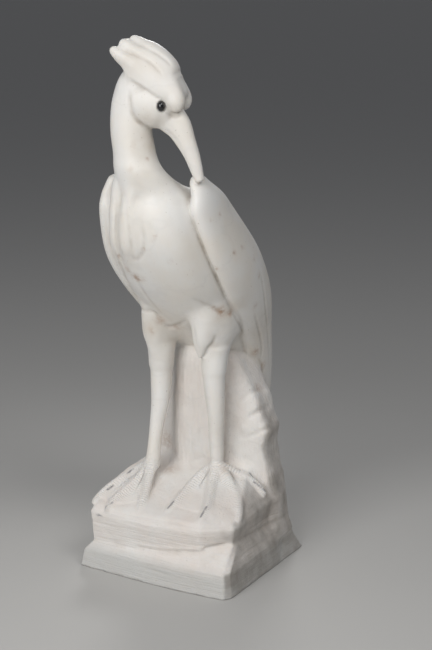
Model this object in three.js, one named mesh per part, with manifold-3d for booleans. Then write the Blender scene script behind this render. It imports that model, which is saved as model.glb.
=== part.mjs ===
// A heron carved in white stone, standing on a rocky plinth that is cut from the same block.
// Millimetres, +Z up, the bird faces -Y. The stations below are measured from the middle of the plinth's
// underside, and the whole is then set so that the origin is the middle of its own box at the bottom.

import * as THREE from 'three';
import { mergeVertices } from 'three/addons/utils/BufferGeometryUtils.js';
import Module from 'manifold-3d';

// Driving dimensions

const EYE_HALF_SIZES = [3.8, 5, 4.3];
const EYE_SEAT_GAP = 0.3;
const LIMB_SIDES = 12;

const SKULL = new THREE.Vector3(-1.5, -71, 499);
const HEAD_TURN = THREE.MathUtils.degToRad(15);

// Stations are [x, y, z, half width, half depth], from the top down or from the root out.

const MIDDLE = -8;
const WING_MIDDLE = -11;
const RIGHT_WING_DROP = 5;
const WING_TURN = THREE.MathUtils.degToRad(5);

const TORSO = [
  [-9, -56, 411, 21, 17],
  [-9, -49, 397, 38.5, 39],
  [-8, -35, 375, 49.5, 57],
  [-7, -17, 345, 55, 69],
  [-7, 9, 307, 56, 71],
  [-8, 38, 268, 53, 61],
  [-8, 64, 230, 45, 46],
  [-7, 86, 194, 37, 29],
  [-6, 103, 160, 31, 14],
];

const MANTLE = [
  [-8, -26, 401, 22, 10],
  [-8, -8, 386, 38, 18],
  [-8, 26, 350, 46, 24],
  [-8, 60, 307, 47, 23],
  [-8, 82, 268, 46, 22],
  [-8, 96, 230, 42, 19],
  [-7, 106, 194, 36, 14.5],
  [-6, 112, 162, 31, 9],
];

const WING = [
  [36.5, -48, 420, 4.5, 8],
  [37, -45, 413, 8, 15],
  [40, -36, 400, 11.5, 27],
  [40, -26, 382, 15.5, 38.5],
  [45, 0, 344, 18, 48.5],
  [46.5, 18, 318, 18.5, 48.5],
  [44.5, 37, 293, 17.5, 46.5],
  [41, 53, 271, 16, 42],
  [36, 72, 240, 13, 34],
  [31.5, 93, 200, 9, 25],
  [26, 110, 165, 7, 14],
  [24, 117, 150, 3, 5],
];

const NECK = [
  [-19, -75, 452, 14, 13],
  [-17, -75, 436, 21.6, 19.6],
  [-14, -74.5, 425, 25.3, 22],
  [-10, -62, 408, 30, 29],
  [-8, -50, 388, 36, 30],
];

const PLUMES = [
  [
    [-22, -76, 436, 5, 5],
    [-29, -81, 416, 8.5, 8],
    [-32, -82, 397, 9.3, 8],
    [-34, -83, 375, 9, 7],
    [-36, -79, 350, 8.5, 6],
    [-38, -67, 331, 6, 5],
    [-40, -57, 318, 1.5, 1.5],
  ],
  [
    [-10, -80, 430, 5, 5],
    [-14, -84, 411, 7.5, 7],
    [-17, -87, 394, 8, 7],
    [-20, -87.5, 370, 8, 6.5],
    [-22, -84, 349, 7.5, 6],
    [-24, -73.5, 333, 5, 4.5],
    [-25, -67, 321, 1.5, 1.5],
  ],
];

const THIGH = [
  [24, 16, 312, 7, 10],
  [26, 11, 297, 12, 20],
  [28, 8, 282, 15.5, 26],
  [28.5, 8, 266, 17.5, 29],
  [28.5, 8, 250, 17, 25],
  [27.5, 4, 232, 12.5, 14.5],
  [27, 0, 212, 9.5, 9.5],
];

const RIGHT_THIGH = [
  [-27, 14, 300, 9, 10],
  [-29.8, 5, 280, 10.6, 14],
  [-31.5, -1, 262, 11.9, 16],
  [-32.8, -4, 246, 12.3, 16.5],
  [-34, -4, 232, 12, 14.5],
  [-35, -4, 212, 10.3, 10.5],
];

const THIGH_TUFT = [
  [20, -8, 304, 8, 10],
  [21.5, -14, 284, 10, 11],
  [22.5, -16.5, 264, 10.5, 9.5],
  [22, -17.5, 245, 8.5, 7],
  [20, -17, 228, 1.5, 1.5],
];

const LEFT_LEG = [
  [27, 0, 235, 12.5, 12.5],
  [27.5, -1, 203, 11.4, 11.4],
  [29, 0, 172, 9.5, 9.5],
  [28.6, 2, 152, 8.3, 8.3],
  [27.7, 4, 130, 7.5, 7.5],
  [27.4, 6, 100, 6.6, 6.6],
];

const RIGHT_LEG = [
  [-35, -4, 232, 12, 12],
  [-35, -4, 203, 11.6, 11.6],
  [-35.4, -6, 172, 9.8, 9.8],
  [-37, -9, 152, 8.1, 8.1],
  [-38, -13, 130, 7.2, 7.2],
  [-40, -16, 100, 8, 8],
];

// Small helpers

function catmullRom(stations, t) {
  const last = stations.length - 1;
  const place = Math.min(t * last, last - 1e-9);
  const i = Math.floor(place);
  const f = place - i;
  const at = (k) => stations[Math.max(0, Math.min(last, k))];
  return stations[0].map((_, c) => {
    const a = at(i - 1)[c];
    const b = at(i)[c];
    const d = at(i + 1)[c];
    const e = at(i + 2)[c];
    return 0.5 * (2 * b + (d - a) * f + (2 * a - 5 * b + 4 * d - e) * f * f
      + (3 * b - a - 3 * d + e) * f * f * f);
  });
}

function ringPlan(rings, round) {
  const [start, end] = round;
  const capRings = 3;
  const plan = [];
  for (let k = 1; k < capRings && start > 0; k++) {
    const turn = (k / capRings) * Math.PI / 2;
    plan.push([start * (1 - Math.cos(turn)), Math.sin(turn)]);
  }
  for (let k = 0; k <= rings; k++) {
    plan.push([start + (1 - start - end) * k / rings, 1]);
  }
  for (let k = capRings - 1; k > 0 && end > 0; k--) {
    const turn = (k / capRings) * Math.PI / 2;
    plan.push([1 - end * (1 - Math.cos(turn)), Math.sin(turn)]);
  }
  return plan;
}

// A closed skin through stations. Level sections lie in horizontal planes, and the others stand square
// to the path, with their width along the side vector.
function sweep(stations, options = {}) {
  const { rings = 10, sides = LIMB_SIDES, round = [0, 0], level = false, square = 2 } = options;
  const side = options.side ?? new THREE.Vector3(1, 0, 0);
  const positions = [];
  const index = [];
  const point = (t) => new THREE.Vector3(...catmullRom(stations, t).slice(0, 3));
  const plan = ringPlan(rings, round);
  for (const [t, scale] of plan) {
    const [x, y, z, wide, deep] = catmullRom(stations, t);
    const along = level ? new THREE.Vector3(0, 0, -1)
      : point(Math.min(1, t + 0.01)).sub(point(Math.max(0, t - 0.01))).normalize();
    const u = side.clone().addScaledVector(along, -side.dot(along)).normalize();
    const v = new THREE.Vector3().crossVectors(along, u);
    for (let s = 0; s < sides; s++) {
      const angle = (s / sides) * 2 * Math.PI;
      const c = Math.cos(angle);
      const d = Math.sin(angle);
      const a = Math.sign(c) * Math.abs(c) ** (2 / square) * wide * scale;
      const b = Math.sign(d) * Math.abs(d) ** (2 / square) * deep * scale;
      positions.push(x + u.x * a + v.x * b, y + u.y * a + v.y * b, z + u.z * a + v.z * b);
    }
  }
  positions.push(...point(0).toArray(), ...point(1).toArray());
  const first = plan.length * sides;
  for (let r = 0; r < plan.length - 1; r++) {
    for (let s = 0; s < sides; s++) {
      const a = r * sides + s;
      const b = r * sides + (s + 1) % sides;
      index.push(a, b, a + sides, b, b + sides, a + sides);
    }
  }
  const lastRing = (plan.length - 1) * sides;
  for (let s = 0; s < sides; s++) {
    const n = (s + 1) % sides;
    index.push(first, n, s, first + 1, lastRing + s, lastRing + n);
  }
  return closedGeometry(positions, index);
}

function closedGeometry(positions, index) {
  const geometry = new THREE.BufferGeometry();
  geometry.setAttribute('position', new THREE.Float32BufferAttribute(positions, 3));
  geometry.setIndex(index);
  return geometry;
}

// A closed skin over rings of corners, listed from the bottom up, anticlockwise seen from above.
function stack(rings, top) {
  const n = rings[0].length;
  const index = [];
  const positions = rings.flat(2);
  const mean = (ring) => [0, 1, 2].map((c) => ring.reduce((sum, p) => sum + p[c], 0) / n);
  positions.push(...mean(rings[0]), ...(top ?? mean(rings[rings.length - 1])));
  const centre = rings.length * n;
  for (let r = 0; r < rings.length - 1; r++) {
    for (let s = 0; s < n; s++) {
      const a = r * n + s;
      const b = r * n + (s + 1) % n;
      index.push(a, b, a + n, b, b + n, a + n);
    }
  }
  const lastRing = (rings.length - 1) * n;
  for (let s = 0; s < n; s++) {
    const next = (s + 1) % n;
    index.push(centre, next, s, centre + 1, lastRing + s, lastRing + next);
  }
  return closedGeometry(positions, index);
}

const mirrored = (stations, centre = 0) => stations.map(([x, ...rest]) => [2 * centre - x, ...rest]);

const wasm = await Module();
wasm.setup();

function solid(geometry) {
  const bare = geometry.clone();
  bare.deleteAttribute('normal');
  bare.deleteAttribute('uv');
  const merged = mergeVertices(bare, 1e-4);
  return new wasm.Manifold(new wasm.Mesh({
    numProp: 3,
    vertProperties: Float32Array.from(merged.attributes.position.array),
    triVerts: Uint32Array.from(merged.index.array),
  }));
}

function geometryOf(manifold) {
  const mesh = manifold.getMesh();
  const geometry = new THREE.BufferGeometry();
  geometry.setAttribute('position', new THREE.Float32BufferAttribute(mesh.vertProperties, 3));
  geometry.setIndex(Array.from(mesh.triVerts));
  geometry.computeVertexNormals();
  return geometry;
}

// The head is laid out in its own profile plane: forward, up, and out to the side that faces -Y.

const FORWARD = new THREE.Vector3(Math.cos(HEAD_TURN), Math.sin(HEAD_TURN), 0);
const HEAD_SIDE = new THREE.Vector3(Math.sin(HEAD_TURN), -Math.cos(HEAD_TURN), 0);

function headPoint(forward, up, out = 0) {
  return SKULL.clone().addScaledVector(FORWARD, forward).addScaledVector(HEAD_SIDE, out)
    .add(new THREE.Vector3(0, 0, up)).toArray();
}

const headFrame = () => new THREE.Matrix4().makeBasis(FORWARD, new THREE.Vector3(0, 0, 1), HEAD_SIDE);

// Head stations are [forward, up, out, half thickness to the side, half depth in the profile].
const headStations = (list) => list.map(([f, u, o, wide, deep]) => [...headPoint(f, u, o), wide, deep]);

const HEAD_NECK = [
  [4, 16, 0, 15, 18],
  [-10, 7, 0, 17, 21],
  [-17, -8, 0, 17, 21],
  [-20, -24, 0, 17.5, 20.5],
  [-19.8, -42, 0, 18.3, 20.5],
  [-17.2, -58, 0, 19.8, 21],
  [-16, -76, 0, 20, 20],
  [-15, -96, 0, 18, 16],
];

const CHEEK = [
  [-19, -6, 0, 14, 15],
  [-14, -8, 0, 18, 20],
  [-4, -9, 0, 19.8, 24],
  [6, -10, 0, 19.8, 24.2],
  [15, -12.5, 0, 18.2, 22.5],
  [26, -18, 0, 12, 16],
];

// The hood of feathers is proud of the cheek and the neck, down to a ridge above the eye.
const HOOD = [
  [27, -9, 0, 14, 9.5],
  [24.5, -3, 0, 17.5, 13],
  [19.5, 1, 0, 19.5, 19],
  [15, 4, 0, 20, 23],
  [7, 10, 0, 20.2, 28.3],
  [-3.5, 16, 0, 19.8, 31],
  [-13, 20.5, 0, 18, 30.5],
  [-22, 25, 0, 14, 24],
  [-28, 28, 0, 9, 17],
];

const HOOD_RIDGE = [
  [-40, 41], [-30, 33], [-25, 28.5], [-21, 21], [-16, 14], [-7, 9.4], [3, 3.3], [11, -2.3],
  [15.6, -5.5], [18, -9.8], [22, -16], [26, -18.5],
];

const BROW = [
  [17, 8, 9, 9, 13],
  [25, -1, 10.5, 9, 10.5],
  [28.5, -9, 11.5, 8.5, 9],
  [29, -17, 11.5, 4, 4],
];

const STRANDS = [
  {
    out: 0,
    path: [[16, 20, 5, 6], [4, 34, 7, 9], [-7, 42.5, 7, 8], [-15, 48.3, 5.5, 5.5], [-20, 51, 3, 3]],
  },
  {
    out: 6,
    path: [[4, 26, 7, 9], [-8, 35, 8, 9], [-18, 41, 7.5, 8], [-24, 45, 6, 6], [-28.5, 47.5, 3.5, 3.5]],
  },
  {
    out: 10,
    path: [[-2, 17, 8, 10], [-14, 27, 8, 9.5], [-25, 34, 7, 7.5], [-31, 38, 5.5, 5.6], [-36.5, 41.7, 3, 3]],
  },
];

const BILL = [
  [15.8, -20, 0, 12, 16.2],
  [27, -31.5, 0, 9.5, 13.2],
  [34.6, -45.7, 0, 8, 9.8],
  [40.6, -58.8, 0, 6.6, 7.7],
  [45.3, -73, 0, 5.1, 6.1],
  [48.8, -84, 0, 3.9, 4.2],
];

function hood() {
  const outline = new THREE.Shape();
  outline.moveTo(...HOOD_RIDGE[0]);
  HOOD_RIDGE.slice(1).forEach(([f, u]) => outline.lineTo(f, u));
  outline.lineTo(60, -19);
  outline.lineTo(60, 80);
  outline.lineTo(-40, 80);
  const prism = new THREE.ExtrudeGeometry(outline, { depth: 60, bevelEnabled: false, steps: 1 });
  prism.translate(0, 0, -30);
  prism.applyMatrix4(headFrame().setPosition(SKULL));
  const cap = sweep(headStations(HOOD), { side: HEAD_SIDE, rings: 10, sides: 20, round: [0.1, 0.06] });
  return solid(cap).intersect(solid(prism));
}

function headSolids() {
  const side = HEAD_SIDE;
  const parts = [
    sweep(headStations(HEAD_NECK), { side, rings: 11, sides: 18, round: [0.08, 0] }),
    sweep(headStations(CHEEK), { side, rings: 7, sides: 18, round: [0.07, 0.1] }),
    hood(),
    sweep(headStations(BILL), { side, rings: 8, sides: LIMB_SIDES, round: [0, 0.05] }),
  ];
  for (const sign of [1, -1]) {
    const lobe = BROW.map(([f, u, o, wide, deep]) => [f, u, o * sign, wide, deep]);
    parts.push(sweep(headStations(lobe), { side, rings: 6, sides: 10, round: [0, 0.15] }));
  }
  for (const { out, path } of STRANDS) {
    for (const sign of out ? [1, -1] : [1]) {
      const stations = path.map(([f, u, wide, deep]) => [f, u, out * sign, wide, deep]);
      parts.push(sweep(headStations(stations), { side, rings: 6, sides: 8, round: [0, 0.12] }));
    }
  }
  return parts;
}

// Toes run from the ankle over the rock to the claw's tip.

const LEFT_ANKLE = [27.4, 6, 106];
const RIGHT_ANKLE = [-40, -16, 104];

const TOES = [
  [LEFT_ANKLE, [14, -1, 97], [9, -24, 86], [8, -48, 77], [6, -63, 71]],
  [LEFT_ANKLE, [31, -11, 92], [40, -31, 84], [46, -50, 77], [48, -66, 70]],
  [LEFT_ANKLE, [46, -2, 94], [61, -13, 84], [72, -27, 76], [79, -40, 69]],
  [LEFT_ANKLE, [47, 15, 97], [65, 20, 88.5], [77, 22, 76.5]],
  [RIGHT_ANKLE, [-36, -29, 92], [-29, -47, 80], [-23, -69, 70]],
  [RIGHT_ANKLE, [-48, -31, 88], [-54, -50, 79], [-58, -66, 72], [-58, -77, 66]],
  [RIGHT_ANKLE, [-54, -19, 95], [-67, -26, 87], [-76, -44, 79], [-79, -60, 73], [-80, -71, 68]],
];

function toe(path) {
  const stations = path.map(([x, y, z], i) => {
    const half = 6.6 - 3.4 * i / (path.length - 1);
    return [x, y, z, half, 0.85 * half];
  });
  return sweep(stations, { rings: 6, sides: 7, round: [0, 0.15] });
}

// The plinth is a dressed slab under rough rock. The rock's top climbs to the back and falls to its right.

const SLAB_OUTLINE = [
  [-90, -81], [-20, -85], [31, -86], [60, -85], [86, -83], [91, -75], [91, 26], [91, 70],
  [90.5, 84], [0, 83], [-90, 80], [-91, -20], [-91, -60],
];
const SLAB_TOP = [...SLAB_OUTLINE.slice(0, 6), [91, 26], [84.5, 60], [82, 76], ...SLAB_OUTLINE.slice(9)];
const RIM_OUTLINE = [
  [-80, -77], [-16, -78], [31, -76], [53, -74], [80, -50], [82, -40], [80, 26], [79, 52],
  [62, 72], [0, 76], [-76, 70], [-83, -20], [-81, -58],
];

function groundHeight(x, y) {
  const climb = Math.min(68 + 0.34 * (y + 76), 101);
  const fall = Math.max(0, x - 55) * (0.35 + 0.016 * Math.max(0, y + 40));
  return climb - Math.min(27, fall);
}

function outlineRing(outline, scale, height) {
  return outline.map(([x, y]) => [x * scale, y * scale, height(x * scale, y * scale)]);
}

function plinth() {
  return stack([
    outlineRing(SLAB_OUTLINE, 1, () => 0),
    outlineRing(SLAB_TOP, 0.965, (x) => 19 + 0.042 * (x + 84)),
    outlineRing(RIM_OUTLINE, 0.965, (x) => 29 + 0.13 * (x + 77)),
    outlineRing(RIM_OUTLINE, 1, (x, y) => groundHeight(x, y) - 6),
    outlineRing(RIM_OUTLINE, 0.94, groundHeight),
    outlineRing(RIM_OUTLINE, 0.7, groundHeight),
    outlineRing(RIM_OUTLINE, 0.4, groundHeight),
  ], [0, 0, groundHeight(0, 0)]);
}

// The rock behind the legs narrows from its foot to its crest. Each level is [height, reach to the right].

const ROCK_FOOT = [
  [-73, 42], [-48, 34], [-30, 18], [4, 14], [40, 26], [79, 34], [82, 57], [70, 78], [0, 73], [-66, 66],
];
const ROCK_CREST = [
  [-46, 40], [-36, 28], [-25, 15], [4, 13], [26, 23], [37, 34], [40, 46], [34, 80], [0, 90], [-34, 66],
];
const ROCK_LEVELS = [
  [26, 86], [38, 83.5], [50, 81.5], [72, 79.5], [90, 77], [104, 73], [121, 69], [133, 70.5], [143, 71.5],
  [152, 66.5], [173, 60], [188, 51.5], [207, 41], [234, 33],
];

function rock() {
  const [bottom, top] = [ROCK_LEVELS[0][0], ROCK_LEVELS[ROCK_LEVELS.length - 1][0]];
  return stack(ROCK_LEVELS.map(([z, reach]) => {
    const rise = (z - bottom) / (top - bottom);
    return ROCK_FOOT.map(([x, y], i) => {
      const [crestX, crestY] = ROCK_CREST[i];
      const across = x > 50 ? x * reach / 82 : x + (crestX - x) * rise ** 1.5;
      return [across, y + (crestY - y) * rise, z];
    });
  }), [0, 50, top + 4]);
}

function carveFigure() {
  const leftSide = new THREE.Vector3(Math.cos(WING_TURN), Math.sin(WING_TURN), 0);
  const rightSide = new THREE.Vector3(Math.cos(WING_TURN), -Math.sin(WING_TURN), 0);
  const wing = { level: true, rings: 12, sides: 18, round: [0.05, 0.03] };
  const rightWing = mirrored(WING, WING_MIDDLE)
    .map(([x, y, z, ...half]) => [x, y, z - RIGHT_WING_DROP, ...half]);
  const parts = [
    sweep(TORSO, { level: true, rings: 13, sides: 22, round: [0.06, 0.05], square: 2.6 }),
    sweep(MANTLE, { level: true, rings: 8, sides: 14, round: [0.06, 0.05], square: 2.9 }),
    sweep(NECK, { level: true, rings: 7, sides: 18, round: [0.1, 0] }),
    sweep(WING, { ...wing, side: leftSide }),
    sweep(rightWing, { ...wing, side: rightSide }),
    ...PLUMES.map((path) => sweep(path, { level: true, rings: 8, sides: 8 })),
    sweep(THIGH, { level: true, rings: 7, sides: 12, round: [0.1, 0] }),
    sweep(RIGHT_THIGH, { level: true, rings: 6, sides: 12, round: [0.1, 0] }),
    sweep(THIGH_TUFT, { level: true, rings: 5, sides: 8, round: [0.15, 0] }),
    sweep(mirrored(THIGH_TUFT, MIDDLE), { level: true, rings: 5, sides: 8, round: [0.15, 0] }),
    sweep(LEFT_LEG, { level: true, rings: 6 }),
    sweep(RIGHT_LEG, { level: true, rings: 6 }),
    ...headSolids(),
    ...TOES.map(toe),
    plinth(),
    rock(),
  ].map((piece) => (piece.isBufferGeometry ? solid(piece) : piece));
  return parts.reduce((whole, piece) => whole.add(piece));
}

const EYE_FORWARD = 15.6;
const EYE_UP = -11.3;
const EYE_OUT = 17.6;

// A bead's shape, longest upwards, with its middle in the cheek.
function beadShape(sign, gap) {
  const [forward, up, out] = EYE_HALF_SIZES.map((half) => half + gap);
  const frame = headFrame()
    .scale(new THREE.Vector3(forward, up, out))
    .setPosition(...headPoint(EYE_FORWARD, EYE_UP, EYE_OUT * sign));
  return new THREE.SphereGeometry(1, 10, 7).applyMatrix4(frame);
}

const stone = new THREE.MeshStandardMaterial({ color: 0xe9e5dc, roughness: 0.35, metalness: 0 });
const bead = new THREE.MeshStandardMaterial({ color: 0x0b0c0b, roughness: 0.08, metalness: 0 });

const heron = new THREE.Group();
let figure = carveFigure();
for (const sign of [1, -1]) {
  figure = figure.subtract(solid(beadShape(sign, EYE_SEAT_GAP)));
}
const figureMesh = new THREE.Mesh(geometryOf(figure), stone);
figureMesh.name = 'heron_figure';
heron.add(figureMesh);

for (const [name, sign] of [['eye_right', 1], ['eye_left', -1]]) {
  const eye = new THREE.Mesh(beadShape(sign, 0), bead);
  eye.name = name;
  heron.add(eye);
}

const bounds = new THREE.Box3().setFromObject(heron);
const centre = bounds.getCenter(new THREE.Vector3());
for (const mesh of heron.children) {
  mesh.position.x -= centre.x;
  mesh.position.y -= centre.y;
  mesh.position.z -= bounds.min.z;
}

export default heron;
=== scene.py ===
# A heron carved in white marble, on a rock and a plinth of the same block.
# The carving is worked in millimetres from the middle of the plinth's underside, and set in metres
# at the end.

import math

import bmesh
import bpy
import numpy as np
import openvdb
from mathutils import Matrix, Vector


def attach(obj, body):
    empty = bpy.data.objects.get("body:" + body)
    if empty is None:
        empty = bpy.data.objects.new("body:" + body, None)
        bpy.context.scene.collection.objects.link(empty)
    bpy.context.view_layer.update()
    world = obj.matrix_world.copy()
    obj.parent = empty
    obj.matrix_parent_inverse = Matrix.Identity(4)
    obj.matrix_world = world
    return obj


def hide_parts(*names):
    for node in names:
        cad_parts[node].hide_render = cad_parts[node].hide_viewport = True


# The grid that the stone is worked on, in millimetres, and how many triangles its surface keeps

VOXEL = 1.2
BAND = 15.0
MARGIN = 6.0
BLOCK_LOW = np.array([-91, -97, 0])
BLOCK_HIGH = np.array([91, 124, 554])
FACE_LIMIT = 185000

# Driving sizes, in millimetres. The eye's place and half sizes are forward, up and outward of the skull.

PLINTH_MIDDLE_Y = -13.53
EYE_HALF_SIZES = np.array([3.8, 5.0, 4.3])
EYE_SEAT_GAP = 0.3
EYE_REACH = 12
EYE_PLACE = (15.6, -11.3, 17.6)

SKULL = np.array([-1.5, -71.0, 499.0])
HEAD_TURN = math.radians(15)
FORWARD = np.array([math.cos(HEAD_TURN), math.sin(HEAD_TURN), 0.0])
HEAD_SIDE = np.array([math.sin(HEAD_TURN), -math.cos(HEAD_TURN), 0.0])
UP = np.array([0.0, 0.0, 1.0])

MIDDLE = -8
WING_MIDDLE = -11
RIGHT_WING_DROP = 5
WING_TURN = math.radians(5)
TORSO_SQUARE = 2.6
MANTLE_SQUARE = 2.9

# How widely each part blends into the stone before it, in millimetres

BLENDS = {
    "torso": 1, "neck flare": 7, "neck": 3, "mantle": 10, "thigh": 13, "thigh tuft": 10, "leg": 8,
    "plume": 3.5, "wing": 1.5, "cheek": 1.5, "bill": 2.5, "hood edge": 2.5, "brow": 2.5, "strand": 3,
    "plinth": 1, "rock": 10, "web": 2, "toe": 3, "ground": 4,
}

# Regions whose edges are rounded, less towards the region's own sides: two corners and the passes

SOFT_SHOULDERS = ([-80, -125, 372], [60, 20, 462], 16)
SOFT_PLINTH = ([-110, -120, -20], [110, 140, 120], 2)
SOFT_RIM = ([-110, -120, 36], [110, 20, 125], 3)
SOFT_ROCK = ([-110, -10, 88], [110, 140, 260], 8)
SOFT_SIDE = 15.0

# Colours, as linear red, green and blue

POLISHED_WHITE = (0.80, 0.785, 0.755)
ROCK_PALE = (0.76, 0.735, 0.70)
ROCK_TAN = (0.73, 0.67, 0.62)
BEAD_BLACK = (0.006, 0.006, 0.007)
BEAD_HAZE = (0.012, 0.012, 0.013)
FLOOR_GREY = (0.5, 0.49, 0.47)
SKY_BLUE = (0.9, 0.93, 1.0)

# Marks and painted shade on the stone, as a colour and how strongly it shows, from 0 to 1

POLISHED_WARM = ((0.74, 0.68, 0.59), 0.55)
# Patina on the neck, and painted shade on the crest, hood, thighs and lower wing, in one warm colour
PATINA_AND_SHADE_COLOR = ((0.60, 0.54, 0.46), 0.8)
SLAB_GREY = ((0.50, 0.50, 0.48), 0.75)
VEIN_GREY = ((0.52, 0.50, 0.48), 0.1)
# Painted shade on the rock and plinth faces turned to the bird's left
SHADED_SIDE_COLOR = ((0.29, 0.265, 0.235), 0.9)
# Brown grime with painted shade in the creases and hollows of the polished bird
GRIME_AND_SHADE_BROWN = ((0.30, 0.24, 0.18), 0.62)
SPECK_BROWN = ((0.30, 0.24, 0.18), 0.4)
# Brown stains, and painted shade in the recess behind the legs
STAIN_AND_SHADE_BROWN = ((0.36, 0.21, 0.12), 0.85)
CLAW_GREY = ((0.10, 0.10, 0.12), 0.8)

# The stone's roughness, and the heights in metres of its small relief and of where its finish changes

POLISHED_ROUGHNESS = 0.34
ROCK_ROUGHNESS = 0.32
UNEVEN_ROUGHNESS = 0.2
TOE_ROCKINESS = 0.6
RIB_HEIGHT = 0.0005
GRAIN_HEIGHT = 0.0009
WAVE_HEIGHT = 0.0005
SLAB_GREY_FADE = (0.03, 0.018)
LEVEL_MARKS_FADE = (0.085, 0.06)

# The photograph's camera, in the same millimetres, and where its rays look for the stone

PHOTO_SIZE = (432, 650)
FOCAL_PIXELS = 1400
CAMERA_AZIMUTH = math.radians(30)
CAMERA_PITCH = math.radians(13.5)
CAMERA_PLACE = np.array([727.7, -1209.7, 595.2])
SENSOR_HEIGHT = 24
LOOK_START = 1150
LOOK_END = 1750
LOOK_STEP = 0.5

# The room: a light's name, place, aim and size in metres, power in watts, and spread in degrees

LIGHTS = [
    ("key", (0.05, -1.5, 0.95), (0, 0, 0.3), 1.2, 19, 180),
    ("side", (1.3, -0.6, 1.9), (0, 0, 0.32), 0.9, 12.5, 180),
    ("fill", (-1.5, -0.6, 0.7), (0, 0, 0.28), 1.2, 1, 180),
    ("back", (-0.7, 1.5, 1.3), (0, 0, 0.38), 0.5, 0.6, 40),
]
SKY_STRENGTH = 0.15
FLOOR_SIZE = 240
FLOOR_ROUGHNESS = 0.8

# Stations are [x, y, z, half width, half depth], from the top down or from the root out.

TORSO = [
    [-9, -56, 411, 21, 17],
    [-9, -49, 397, 38.5, 39],
    [-8, -35, 375, 49.5, 57],
    [-7, -17, 345, 55, 69],
    [-7, 9, 307, 56, 71],
    [-8, 38, 268, 53, 61],
    [-8, 64, 230, 45, 46],
    [-7, 86, 194, 37, 29],
    [-6, 103, 160, 31, 14],
]

MANTLE = [
    [-8, -26, 401, 22, 10],
    [-8, -8, 386, 38, 18],
    [-8, 26, 350, 46, 24],
    [-8, 60, 307, 47, 23],
    [-8, 82, 268, 46, 22],
    [-8, 96, 230, 42, 19],
    [-7, 106, 194, 36, 14.5],
    [-6, 112, 162, 31, 9],
]

WING = [
    [36.5, -48, 420, 4.5, 8],
    [37, -45, 413, 8, 15],
    [40, -36, 400, 11.5, 27],
    [40, -26, 382, 15.5, 38.5],
    [45, 0, 344, 18, 48.5],
    [46.5, 18, 318, 18.5, 48.5],
    [44.5, 37, 293, 17.5, 46.5],
    [41, 53, 271, 16, 42],
    [36, 72, 240, 13, 34],
    [31.5, 93, 200, 9, 25],
    [26, 110, 165, 7, 14],
    [24, 117, 150, 3, 5],
]

NECK_FLARE = [
    [-19, -75, 452, 14, 13],
    [-17, -75, 436, 21.6, 19.6],
    [-14, -74.5, 425, 25.3, 22],
    [-10, -62, 408, 30, 29],
    [-8, -50, 388, 36, 30],
]

PLUMES = [
    [
        [-22, -76, 436, 5, 5],
        [-29, -81, 416, 8.5, 8],
        [-32, -82, 397, 9.3, 8],
        [-34, -83, 375, 9, 7],
        [-36, -79, 350, 8.5, 6],
        [-38, -67, 331, 6, 5],
        [-40, -57, 318, 1.5, 1.5],
    ],
    [
        [-10, -80, 430, 5, 5],
        [-14, -84, 411, 7.5, 7],
        [-17, -87, 394, 8, 7],
        [-20, -87.5, 370, 8, 6.5],
        [-22, -84, 349, 7.5, 6],
        [-24, -73.5, 333, 5, 4.5],
        [-25, -67, 321, 1.5, 1.5],
    ],
]

THIGH = [
    [24, 16, 312, 7, 10],
    [26, 11, 297, 12, 20],
    [28, 8, 282, 15.5, 26],
    [28.5, 8, 266, 17.5, 29],
    [28.5, 8, 250, 17, 25],
    [27.5, 4, 232, 12.5, 14.5],
    [27, 0, 212, 9.5, 9.5],
]

RIGHT_THIGH = [
    [-27, 14, 300, 9, 10],
    [-29.8, 5, 280, 10.6, 14],
    [-31.5, -1, 262, 11.9, 16],
    [-32.8, -4, 246, 12.3, 16.5],
    [-34, -4, 232, 12, 14.5],
    [-35, -4, 212, 10.3, 10.5],
]

THIGH_TUFT = [
    [20, -8, 304, 8, 10],
    [21.5, -14, 284, 10, 11],
    [22.5, -16.5, 264, 10.5, 9.5],
    [22, -17.5, 245, 8.5, 7],
    [20, -17, 228, 1.5, 1.5],
]

LEFT_LEG = [
    [27, 0, 235, 12.5, 12.5],
    [27.5, -1, 203, 11.4, 11.4],
    [29, 0, 172, 9.5, 9.5],
    [28.6, 2, 152, 8.3, 8.3],
    [27.7, 4, 130, 7.5, 7.5],
    [27.4, 6, 100, 6.6, 6.6],
]

RIGHT_LEG = [
    [-35, -4, 232, 12, 12],
    [-35, -4, 203, 11.6, 11.6],
    [-35.4, -6, 172, 9.8, 9.8],
    [-37, -9, 152, 8.1, 8.1],
    [-38, -13, 130, 7.2, 7.2],
    [-40, -16, 100, 8, 8],
]

# Head stations are [forward, up, out, half thickness to the side, half depth in the profile].

NECK = [
    [4, 16, 0, 15, 18],
    [-10, 7, 0, 17, 21],
    [-17, -8, 0, 17, 21],
    [-20, -24, 0, 17.5, 20.5],
    [-19.8, -42, 0, 18.3, 20.5],
    [-17.2, -58, 0, 19.8, 21],
    [-16, -76, 0, 20, 20],
    [-15, -96, 0, 18, 16],
]

CHEEK = [
    [-19, -6, 0, 14, 15],
    [-14, -8, 0, 18, 20],
    [-4, -9, 0, 19.8, 24],
    [6, -10, 0, 19.8, 24.2],
    [15, -12.5, 0, 18.2, 22.5],
    [26, -18, 0, 12, 16],
]

HOOD = [
    [27, -9, 0, 14, 9.5],
    [24.5, -3, 0, 17.5, 13],
    [19.5, 1, 0, 19.5, 19],
    [15, 4, 0, 20, 23],
    [7, 10, 0, 20.2, 28.3],
    [-3.5, 16, 0, 19.8, 31],
    [-13, 20.5, 0, 18, 30.5],
    [-22, 25, 0, 14, 24],
    [-28, 28, 0, 9, 17],
]

# The hood's lower edge is [forward, up]. It is crisp over the cheek, and from the nape's start it flows
# more softly into the neck, most at its sides.

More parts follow.
